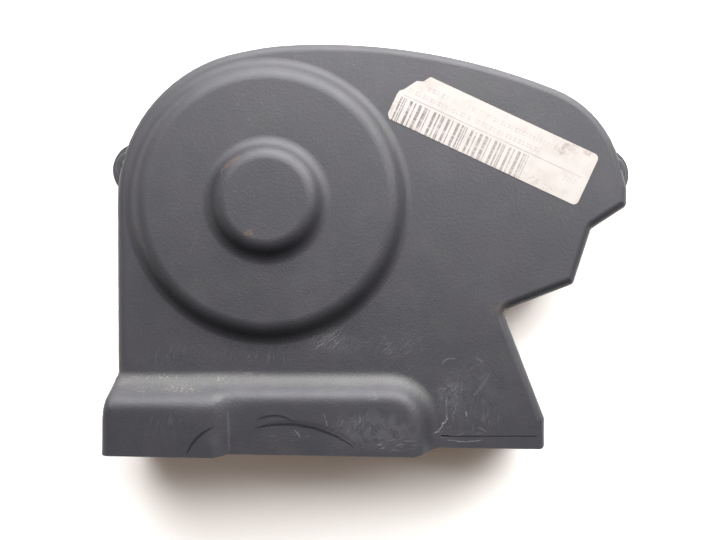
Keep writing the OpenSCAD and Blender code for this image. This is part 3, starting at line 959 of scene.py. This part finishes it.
    def print_mask(self, graph: Graph, own: Socket) -> Socket:
        """Worn print of the sticker.

        Args:
            graph: Graph of the material.
            own: Coordinates from the sticker's lower left corner, in millimetres.

        Returns:
            The socket of the print's mask.
        """
        along, across, _ = graph.parts(own)
        wide = uneven_bars(graph, along, self.bar_pitch, self.bar_swell, self.bar_width)
        phase = graph.math("FRACT", graph.math("DIVIDE", along, self.thin_pitch))
        thin = graph.math("LESS_THAN", phase, self.thin_width)
        bars = graph.times(
            graph.math("MAXIMUM", wide, thin), graph.step(along, *self.bars_start),
            graph.step(along, self.bars_end, self.bars_end - PRINT_EDGE),
            graph.step(across, self.bars_top, self.bars_top - PRINT_EDGE),
            graph.blend(*self.bars_fade, graph.math("DIVIDE", along, self.bars_end)))
        level = graph.math("ABSOLUTE", graph.math("SUBTRACT", across, self.rule_height))
        rule = graph.times(
            graph.step(level, *self.rule_edges), graph.step(along, *self.rule_start),
            graph.step(along, *self.rule_end), self.rule_strength)
        rows = [row.mask(graph, along, across) for row in self.rows]
        drawn = graph.vector("MULTIPLY", own, self.streak_draw)
        streaks = graph.times(graph.noise(drawn, self.streak_cloud), self.streak_share)
        flecks = graph.times(graph.noise(own, self.fleck_cloud), self.fleck_share)
        wear = graph.step(graph.math("ADD", streaks, flecks), *self.wear_edges)
        kept = graph.blend(self.worn_print, 1.0, wear)
        return graph.times(graph.largest([bars, rule, *rows]), kept)


@dataclass(frozen=True)
class PlatedSteel:
    """Dull plated steel with a faint grain and a little grime."""

    clean: Colour = (0.2, 0.2, 0.195)
    grime: Colour = (0.05, 0.046, 0.042)
    grime_cloud: Cloud = Cloud(0.35)
    grime_edges: Point = (0.42, 0.7)
    roughness: Point = (0.5, 0.75)
    grain_pitch: float = 0.4
    grain_depth: float = 0.01
    grain_strength: float = 0.6

    def build(self, effects: SharedEffects) -> bpy.types.Material:
        """Builds the finish from the shared groups and returns the material."""
        material = new_material("plated_steel")
        graph = Graph(material.node_tree)
        place = graph.place()[0]
        dirt = graph.step(graph.noise(place, self.grime_cloud), *self.grime_edges)
        colour = graph.tint(dirt, opaque(self.clean), self.grime)
        graph.put(graph.shader.inputs["Base Color"], colour)
        graph.shader.inputs["Metallic"].default_value = 1.0
        graph.put(graph.shader.inputs["Roughness"], graph.blend(*self.roughness, dirt))
        grain = graph.group(effects.grain, place=place, pitch=self.grain_pitch)
        graph.relief(grain, self.grain_depth, self.grain_strength)
        return material


def select_only(piece: bpy.types.Object) -> None:
    """Deselects everything, then selects one object and makes it active."""
    bpy.ops.object.select_all(action="DESELECT")
    piece.select_set(True)
    bpy.context.view_layer.objects.active = piece


def merged_copy(node: str, name: str) -> bpy.types.Object:
    """Copies a node's mesh, joins its loose triangles and clears its flat faces of edges.

    Args:
        node: Name of the node.
        name: Name of the new object.

    Returns:
        The new object.
    """
    piece = bpy.data.objects.new(name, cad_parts[node].data.copy())
    bpy.context.scene.collection.objects.link(piece)
    select_only(piece)
    bpy.ops.mesh.customdata_custom_splitnormals_clear()
    bpy.ops.object.mode_set(mode="EDIT")
    bpy.ops.mesh.select_all(action="SELECT")
    bpy.ops.mesh.remove_doubles(threshold=JOIN_GAP * MM)
    bpy.ops.mesh.dissolve_limited(angle_limit=math.radians(FLAT_TURN))
    bpy.ops.object.mode_set(mode="OBJECT")
    piece.data.materials.clear()
    return piece


def apply_all(piece: bpy.types.Object) -> None:
    """Applies an object's modifiers in order."""
    select_only(piece)
    for modifier in list(piece.modifiers):
        bpy.ops.object.modifier_apply(modifier=modifier.name)


def fit(piece: bpy.types.Object, node: str, material: bpy.types.Material) -> None:
    """Dresses a piece and puts it in its node's place.

    Args:
        piece: The finished piece.
        node: Node that it stands for.
        material: Its finish.
    """
    piece.data.materials.append(material)
    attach(piece, BODY)
    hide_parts(node)
    LOG.info("%s: %d faces, stands for %s", piece.name, len(piece.data.polygons), node)


@dataclass(frozen=True)
class Zone:
    """A rectangle of the front face, in plan, in millimetres."""

    low: Point
    high: Point

    SLACK: ClassVar[float] = 0.05

    def overlaps(self, corners: list[Vector]) -> bool:
        """Tells whether the box around some corners, in metres, reaches into the zone."""
        return all(
            min(c[axis] for c in corners) < self.high[axis] * MM
            and max(c[axis] for c in corners) > self.low[axis] * MM
            for axis in (0, 1))

    def spans(self, corners: list[Vector]) -> bool:
        """Tells whether some corners, in metres, all lie between the zone's left and right."""
        left, right = self.low[0] - self.SLACK, self.high[0] + self.SLACK
        return all(left * MM < c.x < right * MM for c in corners)

    def holds(self, corner: Vector) -> bool:
        """Tells whether a corner, in metres, lies inside the zone."""
        return all(self.low[axis] * MM < corner[axis] < self.high[axis] * MM for axis in (0, 1))


@dataclass
class CoverMoulding:
    """The moulded shell with its lugs, as one piece with softened bends on its skirt.

    Attributes:
        sharp_turn: Smallest turn, in degrees, that stays a sharp edge.
        net_zone: The skirt, which is cut into a net of small faces.
        net_pitch: Pitch of that net, in millimetres.
        front_tilt: Smallest share of a face's direction that has to look to the front.
        side_cuts: Cuts across the strips on either side of the net.
        soft_zones: Where the net is smoothed and how many times, from the whole skirt to its ramp.
        softness: How far a corner moves towards its neighbours each time, as a share.
    """

    sharp_turn: float = 38.0
    net_zone: Zone = Zone((-150.0, -160.0), (42.0, -112.0))
    net_pitch: float = 2.0
    front_tilt: float = 0.15
    side_cuts: int = 2
    softness: float = 0.5
    soft_zones: tuple[tuple[Zone, int], ...] = (
        (Zone((-150.0, -160.0), (42.0, -112.0)), 3),
        (Zone((-145.0, -158.0), (40.0, -114.0)), 5),
        (Zone((-106.0, -158.0), (-61.0, -116.0)), 5),
        (Zone((-101.0, -156.0), (-66.0, -120.0)), 7),
        (Zone((-97.0, -154.0), (-70.0, -124.0)), 7),
    )

    def front_faces(self, piece: bpy.types.Object, zone: Zone) -> dict[int, list[int]]:
        """Finds the faces that look to the front and reach into a zone.

        Args:
            piece: The shell's copy, in object mode.
            zone: Where to look.

        Returns:
            The corners of each face, by the face's number.
        """
        corners = piece.data.vertices
        return {
            face.index: list(face.vertices) for face in piece.data.polygons
            if face.normal.z > self.front_tilt
            and zone.overlaps([corners[i].co for i in face.vertices])}

    def cut(self, piece: bpy.types.Object, faces: Iterable[int], axis: int, level: float) -> None:
        """Cuts some faces along a plane.

        Args:
            piece: The shell's copy, in object mode.
            faces: Numbers of the faces.
            axis: Axis that the plane is square to.
            level: Place of the plane on that axis, in millimetres.
        """
        bpy.ops.object.mode_set(mode="EDIT")
        bpy.ops.mesh.select_all(action="DESELECT")
        bpy.ops.object.mode_set(mode="OBJECT")
        for index in faces:
            piece.data.polygons[index].select = True
        bpy.ops.object.mode_set(mode="EDIT")
        along = [float(part == axis) for part in range(3)]
        bpy.ops.mesh.bisect(plane_co=[level * MM * part for part in along], plane_no=along)
        bpy.ops.object.mode_set(mode="OBJECT")

    def cut_net(self, piece: bpy.types.Object, zone: Zone) -> None:
        """Cuts a zone's front faces into a net of small faces.

        Args:
            piece: The shell's copy, in object mode.
            zone: Where to cut.
        """
        columns = round((zone.high[0] - zone.low[0]) / self.net_pitch)
        rows = round((zone.high[1] - zone.low[1]) / self.net_pitch)
        for turn in range(-self.side_cuts, columns + self.side_cuts + 1):
            faces = self.front_faces(piece, zone)
            self.cut(piece, faces, 0, zone.low[0] + turn * self.net_pitch)
        for turn in range(rows + 1):
            inside = [index for index, corners in self.front_faces(piece, zone).items()
                      if zone.spans([piece.data.vertices[i].co for i in corners])]
            self.cut(piece, inside, 1, zone.low[1] + turn * self.net_pitch)

    def smooth(self, piece: bpy.types.Object, zone: Zone, rounds: int) -> None:
        """Evens out a zone's front corners.

        Args:
            piece: The shell's copy, in object mode.
            zone: Where to smooth.
            rounds: How many times.
        """
        chosen = {i for corners in self.front_faces(piece, zone).values() for i in corners}
        bpy.ops.object.mode_set(mode="EDIT")
        bpy.ops.mesh.select_mode(type="VERT")
        bpy.ops.mesh.select_all(action="DESELECT")
        bpy.ops.object.mode_set(mode="OBJECT")
        for index in chosen:
            piece.data.vertices[index].select = zone.holds(piece.data.vertices[index].co)
        bpy.ops.object.mode_set(mode="EDIT")
        bpy.ops.mesh.vertices_smooth(factor=self.softness, repeat=rounds)
        bpy.ops.object.mode_set(mode="OBJECT")

    def build(self) -> bpy.types.Object:
        """Softens the skirt's bends, evens out the shell's shading, and returns the piece."""
        piece = merged_copy("cover_shell", "moulded_cover")
        self.cut_net(piece, self.net_zone)
        for zone, rounds in self.soft_zones:
            self.smooth(piece, zone, rounds)
        bpy.ops.object.shade_smooth_by_angle(angle=math.radians(self.sharp_turn))
        normals = piece.modifiers.new("even_shading", "WEIGHTED_NORMAL")
        normals.keep_sharp = True
        apply_all(piece)
        return piece


@dataclass
class FixingSleeve:
    """One steel sleeve with chamfered ends.

    Attributes:
        node: Node that it stands for.
        chamfer: Width of the chamfers, in millimetres.
        rim_turn: Smallest turn, in degrees, that is a rim.
        sharp_turn: Smallest turn, in degrees, that stays a sharp edge.
    """

    node: str
    chamfer: float = 0.5
    rim_turn: float = 60.0
    sharp_turn: float = 30.0

    def build(self) -> bpy.types.Object:
        """Chamfers the sleeve's rims and returns the piece."""
        piece = merged_copy(self.node, self.node.replace("fixing", "steel"))
        bevel = piece.modifiers.new("chamfer", "BEVEL")
        bevel.width = self.chamfer * MM
        bevel.segments = 2
        bevel.limit_method = "ANGLE"
        bevel.angle_limit = math.radians(self.rim_turn)
        apply_all(piece)
        bpy.ops.object.shade_smooth_by_angle(angle=math.radians(self.sharp_turn))
        return piece


@dataclass
class Sticker:
    """The paper sticker."""

    def build(self) -> bpy.types.Object:
        """Copies the sticker and returns the piece."""
        return merged_copy("label", "paper_sticker")


@dataclass(frozen=True)
class PhotoCamera:
    """Camera straight above the plate, as the photograph was taken."""

    eye: tuple[float, float, float] = (-6.8, -62.05, 480.0)
    lens: float = 37.5
    sensor: float = 36.0

    def build(self) -> None:
        """Makes the scene's camera."""
        camera = bpy.data.cameras.new("photo_camera")
        camera.lens = self.lens
        camera.sensor_width = self.sensor
        holder = bpy.data.objects.new("photo_camera", camera)
        holder.location = [v * MM for v in self.eye]
        bpy.context.scene.collection.objects.link(holder)
        bpy.context.scene.camera = holder


@dataclass(frozen=True)
class Softbox:
    """A large soft lamp that faces the part."""

    name: str
    place: tuple[float, float, float]
    size: Point
    power: float
    aim: tuple[float, float, float] = (-10.0, -50.0, 60.0)
    floor_only: bool = False

    def build(self, floor: bpy.types.Collection) -> None:
        """Makes the lamp.

        Args:
            floor: Collection of the floor, for a lamp that lights nothing else.
        """
        lamp = bpy.data.lights.new(self.name, "AREA")
        lamp.shape = "RECTANGLE"
        lamp.size, lamp.size_y = (v * MM for v in self.size)
        lamp.energy = self.power
        holder = bpy.data.objects.new(self.name, lamp)
        if self.floor_only:
            holder.light_linking.receiver_collection = floor
        start = Vector(self.place) * MM
        holder.location = start
        sight = Vector(self.aim) * MM - start
        holder.rotation_euler = sight.to_track_quat("-Z", "Y").to_euler()
        bpy.context.scene.collection.objects.link(holder)


@dataclass(frozen=True)
class Studio:
    """Pale floor that glows a little, soft light from the picture's top and a pale backdrop."""

    floor_colour: Colour = (0.9, 0.88, 0.86)
    floor_roughness: float = 0.9
    floor_gloss: float = 0.1
    floor_glow: Colour = (0.105, 0.072, 0.05)
    floor_half: float = 850.0
    surround: Colour = (1.0, 0.93, 0.88)
    surround_strength: float = 0.02
    backdrop: Colour = (1.0, 0.99, 0.98)
    lamps: tuple[Softbox, ...] = (
        Softbox("high_softbox", (120.0, 500.0, 800.0), (1700.0, 700.0), 14.5),
        Softbox("middle_softbox", (120.0, 720.0, 680.0), (1700.0, 500.0), 20.5),
        Softbox("low_softbox", (250.0, 1150.0, 460.0), (1800.0, 600.0), 28.0),
        Softbox("left_fill", (-1100.0, -100.0, 350.0), (300.0, 900.0), 2.2),
        Softbox("right_fill", (1100.0, 0.0, 350.0), (300.0, 900.0), 0.7),
        Softbox("floor_softbox", (60.0, 345.0, 840.0), (1300.0, 260.0), 6.0, floor_only=True),
    )

    def floor_finish(self) -> bpy.types.Material:
        """Builds the floor's pale finish, which is clear from below.

        Returns:
            The material.
        """
        material = new_material("pale_floor")
        graph = Graph(material.node_tree)
        for name, value in (
                ("Base Color", opaque(self.floor_colour)), ("Roughness", self.floor_roughness),
                ("Emission Color", opaque(self.floor_glow)), ("Emission Strength", 1.0),
                ("Specular IOR Level", self.floor_gloss)):
            graph.shader.inputs[name].default_value = value
        below = graph.node("ShaderNodeNewGeometry").outputs["Backfacing"]
        clear = graph.node("ShaderNodeBsdfTransparent")
        graph.show("Material Output", below, graph.shader, clear)
        return material

    def room(self) -> bpy.types.World:
        """Builds the room, which is pale to look at and lights hardly anything.

        Returns:
            The world.
        """
        world = bpy.data.worlds.new("pale_room")
        world.use_nodes = True
        graph = Graph(world.node_tree)
        surround = graph.tree.nodes["Background"]
        surround.inputs["Color"].default_value = opaque(self.surround)
        surround.inputs["Strength"].default_value = self.surround_strength
        backdrop = graph.node("ShaderNodeBackground")
        backdrop.inputs["Color"].default_value = opaque(self.backdrop)
        seen = graph.node("ShaderNodeLightPath").outputs["Is Camera Ray"]
        graph.show("World Output", seen, surround, backdrop)
        return world

    def build(self) -> None:
        """Makes the floor, the lamps and the room."""
        bpy.ops.object.select_all(action="DESELECT")
        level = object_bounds()[0].z
        bpy.ops.mesh.primitive_plane_add(size=2 * self.floor_half * MM, location=(0, 0, level))
        floor = bpy.context.active_object
        floor.name = "pale_floor"
        floor.data.materials.append(self.floor_finish())
        floor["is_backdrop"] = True
        lit = bpy.data.collections.new("floor_lit")
        lit.objects.link(floor)
        for lamp in self.lamps:
            lamp.build(lit)
        scene = bpy.context.scene
        scene.world = self.room()
        scene.view_settings.view_transform = "Standard"
        scene.view_settings.look = "None"


def main() -> None:
    """Builds the camera, the finishes, the pieces and the studio in order."""
    logging.basicConfig(level=logging.INFO, format="%(name)s: %(message)s")
    PhotoCamera().build()
    effects = SharedEffects()
    steel = PlatedSteel().build(effects)
    fit(CoverMoulding().build(), "cover_shell", MouldedPlastic().build(effects))
    fit(Sticker().build(), "label", StickerPaper().build(effects))
    for node in ("left_fixing_sleeve", "right_fixing_sleeve"):
        fit(FixingSleeve(node).build(), node, steel)
    Studio().build()


if __name__ == "__main__":
    main()
